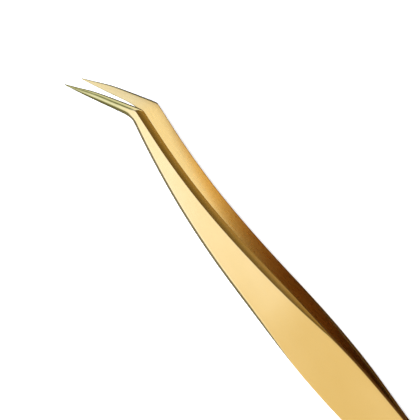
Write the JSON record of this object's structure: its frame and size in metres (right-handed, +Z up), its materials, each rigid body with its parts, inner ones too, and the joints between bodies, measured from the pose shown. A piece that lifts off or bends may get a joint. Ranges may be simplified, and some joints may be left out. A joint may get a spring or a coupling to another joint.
{
  "type": "bent-tip tweezers",
  "caption": "Bent-tip fine-point tweezers: two bowed, bevelled gold-coated spring-steel arms welded at the heel, tips angled in the plane of the arms.",
  "frame": {"origin": "on the ground, under the middle of the bounding box, with the tweezers lying on the lower arm and the heel", "axes": "+X along the arms from the heel to the points, +Y in the plane of the arms towards the side the points bend to, +Z up, which is the closing direction tilted by the 2.5 degree rest pitch"},
  "size_m": [0.1202, 0.01, 0.0103],
  "materials": {
    "gold_coated_steel": "titanium-gold coating over fine satin grinding",
    "weld_metal": "as welded"
  },
  "bodies": {
    "heel": {"upper_tang": "gold_coated_steel", "lower_tang": "gold_coated_steel", "weld_spots": "weld_metal"},
    "upper_arm": {"upper_root": "gold_coated_steel", "upper_blade": "gold_coated_steel"},
    "lower_arm": {"lower_root": "gold_coated_steel", "lower_blade": "gold_coated_steel"}
  },
  "joints": [
    {"name": "upper_flex", "type": "hinge", "parent": "heel", "child": "upper_arm", "pos_m": [-0.02625, -0.00002, 0.00313], "axis": [0, 1, 0], "range_deg": [0, 2.37], "stiffness_Nm_per_rad": 1.2, "deforming": ["upper_root"]},
    {"name": "lower_flex", "type": "hinge", "parent": "heel", "child": "lower_arm", "pos_m": [-0.02618, -0.00002, 0.00173], "axis": [0, -1, 0], "range_deg": [0, 2.37], "stiffness_Nm_per_rad": 1.2, "deforming": ["lower_root"]}
  ],
  "couplings": [
    {"joint": "lower_flex", "follows": "upper_flex", "ratio": 1}
  ]
}
